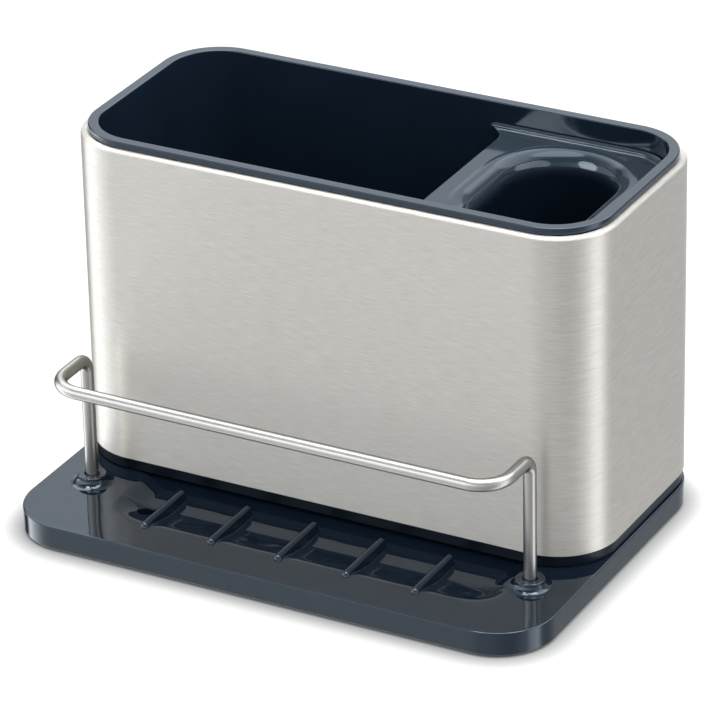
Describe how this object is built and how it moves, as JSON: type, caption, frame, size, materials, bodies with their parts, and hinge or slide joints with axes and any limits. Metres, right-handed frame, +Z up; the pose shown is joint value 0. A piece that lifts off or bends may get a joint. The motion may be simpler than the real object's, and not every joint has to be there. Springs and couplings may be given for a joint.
{
  "type": "sink caddy",
  "caption": "Steel-clad sink caddy with a lift-out liner, a brush cup, a ribbed drip tray and a wire cloth rail.",
  "frame": {"origin": "on the counter, under the middle of the base tray", "axes": "+X towards the end that holds the brush cup, +Y from the front rail to the back, +Z up"},
  "size_m": [0.205, 0.1438, 0.1361],
  "materials": {
    "tray_plastic": "polished dark slate moulding",
    "liner_plastic": "satin to gloss dark slate moulding",
    "cup_plastic": "gloss dark slate moulding",
    "ring_plastic": "matt near-black moulding",
    "foot_rubber": "matt soft pad",
    "brushed_steel": "fine brushing that runs level round the walls",
    "satin_wire": "satin bent wire"
  },
  "bodies": {
    "base": {"base_tray": "tray_plastic", "foot_front_left": "foot_rubber", "foot_front_right": "foot_rubber", "foot_back_left": "foot_rubber", "foot_back_right": "foot_rubber"},
    "rail": {"wire_rail": "satin_wire"},
    "sleeve": {"steel_sleeve": "brushed_steel", "sleeve_base_ring": "ring_plastic"},
    "liner": {"caddy_liner": "liner_plastic"},
    "cup": {"brush_cup": "cup_plastic"}
  },
  "joints": [
    {"name": "rail_lift", "type": "slide", "parent": "base", "child": "rail", "axis": [0, 0, 1], "range_m": [0, 0.03]},
    {"name": "sleeve_lift", "type": "slide", "parent": "base", "child": "sleeve", "axis": [0, 0, 1], "range_m": [0, 0.05]},
    {"name": "liner_lift", "type": "slide", "parent": "sleeve", "child": "liner", "axis": [0, 0, 1], "range_m": [0, 0.125]},
    {"name": "cup_lift", "type": "slide", "parent": "liner", "child": "cup", "axis": [0, 0, 1], "range_m": [0, 0.12]}
  ]
}
